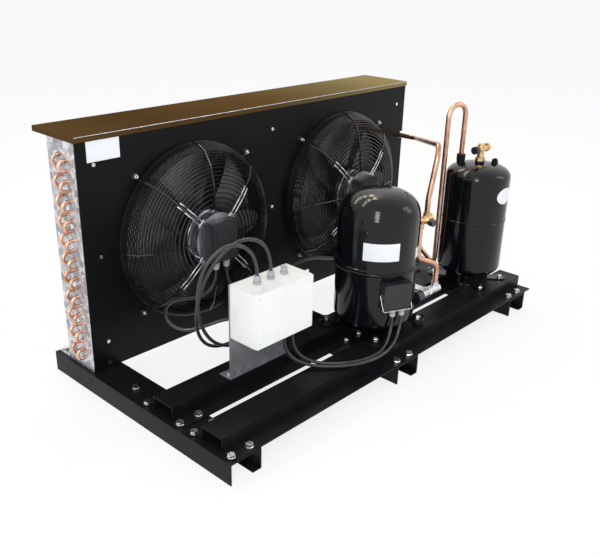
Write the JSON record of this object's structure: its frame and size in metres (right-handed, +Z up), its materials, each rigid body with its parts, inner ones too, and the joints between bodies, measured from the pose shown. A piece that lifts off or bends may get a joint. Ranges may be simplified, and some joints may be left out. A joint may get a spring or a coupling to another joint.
{
  "type": "refrigeration condensing unit",
  "caption": "Air-cooled refrigeration condensing unit: finned coil with axial fans in a panel, hermetic piston compressor, upright liquid receiver and switch box on a black steel base.",
  "frame": {"origin": "floor level under the middle of the fan panel, in the plane of the panel's front face", "axes": "+X along the panel towards the receiver end, -Y towards the service side with the compressor, +Y towards the air intake, +Z up"},
  "size_m": [1.3654, 0.726, 0.681],
  "materials": {
    "black_paint": "semi-gloss black powder coat",
    "black_gloss_paint": "gloss black paint",
    "zinc": "bright zinc plate",
    "galvanised": "spangled galvanised sheet",
    "fin_aluminium": "plain fins",
    "copper": "bare copper",
    "guard_paint": "black coated wire",
    "blade_paint": "gloss black",
    "cast_aluminium": "machined and cast",
    "black_plastic": "fine texture",
    "rubber_black": "matt",
    "lamination": "stacked sheet",
    "steel": "ground",
    "iron": "cast",
    "brass": "forged, lightly tarnished",
    "grey_cap": "moulded cap",
    "black_fitting": "black",
    "white_paint": "smooth white",
    "grey_plastic": "moulded",
    "gland_grey": "moulded nylon",
    "label_white": "blank sticker",
    "cable_black": "satin sheath"
  },
  "bodies": {
    "unit": {"cross_members": "black_paint", "rails": "black_paint", "frame_bolts": "zinc", "foot_bolts": "zinc", "fan_panel": "black_paint", "panel_screws": "zinc", "plenum_divider": "galvanised", "top_cover": "black_gloss_paint", "end_plates": "galvanised", "fin_pack": "fin_aluminium", "coil_tubes": "copper", "return_bends": "copper", "coil_headers": "copper", "bell_mouths": "black_paint", "fan_guards": "guard_paint", "fan_motors": "cast_aluminium", "fan_boxes": "black_plastic", "guard_nuts": "zinc", "comp_lower_shell": "black_gloss_paint", "comp_upper_shell": "black_gloss_paint", "comp_feet": "black_gloss_paint", "comp_grommets": "rubber_black", "comp_stator": "lamination", "comp_block": "iron", "comp_pistons": "cast_aluminium", "comp_springs": "steel", "comp_terminal_box": "black_plastic", "comp_terminal_cover": "black_plastic", "discharge_valve": "zinc", "inline_valve": "brass", "suction_valve": "brass", "pipe_suction": "copper", "valve_caps": "grey_cap", "receiver_shell": "black_gloss_paint", "receiver_base": "black_paint", "receiver_fittings": "black_fitting", "receiver_valve": "brass", "dip_tube": "copper", "pipe_discharge": "copper", "pipe_condenser": "copper", "pipe_liquid": "copper", "box_bracket": "galvanised", "box_case": "white_paint", "box_lid": "white_paint", "switchgear": "grey_plastic", "cable_glands": "gland_grey", "labels": "label_white", "cable_fan": "cable_black", "cable_link": "cable_black", "cable_supply": "cable_black", "cable_control": "cable_black", "cable_compressor": "cable_black", "cable_heater": "cable_black"},
    "impeller_a": {"impeller_1": "blade_paint"},
    "impeller_b": {"impeller_2": "blade_paint"},
    "crankshaft": {"comp_crankshaft": "steel"},
    "bail": {"comp_bail": "steel"},
    "discharge_stem": {"discharge_spindle": "steel"},
    "suction_stem": {"suction_spindle": "steel"},
    "receiver_stem": {"receiver_spindle": "steel"}
  },
  "joints": [
    {"name": "fan_1_spin", "type": "hinge", "parent": "unit", "child": "impeller_a", "pos_m": [-0.2995, -0.05, 0.37], "axis": [0, 1, 0], "continuous": true},
    {"name": "fan_2_spin", "type": "hinge", "parent": "unit", "child": "impeller_b", "pos_m": [0.3115, -0.05, 0.37], "axis": [0, 1, 0], "continuous": true},
    {"name": "crankshaft_spin", "type": "hinge", "parent": "unit", "child": "crankshaft", "pos_m": [0.05, -0.371, 0.2], "axis": [0, 0, 1], "continuous": true},
    {"name": "terminal_bail", "type": "hinge", "parent": "unit", "child": "bail", "pos_m": [0.00013, -0.47794, 0.237], "axis": [-0.9063, 0.4226, 0], "range_deg": [0, 110]},
    {"name": "discharge_spindle_turn", "type": "hinge", "parent": "unit", "child": "discharge_stem", "pos_m": [0.2, -0.43, 0.152], "axis": [1, 0, 0], "continuous": true},
    {"name": "suction_spindle_turn", "type": "hinge", "parent": "unit", "child": "suction_stem", "pos_m": [0.11345, -0.22849, 0.35], "axis": [0, 0, 1], "continuous": true},
    {"name": "receiver_spindle_turn", "type": "hinge", "parent": "unit", "child": "receiver_stem", "pos_m": [0.54, -0.371, 0.527], "axis": [1, 0, 0], "continuous": true}
  ]
}
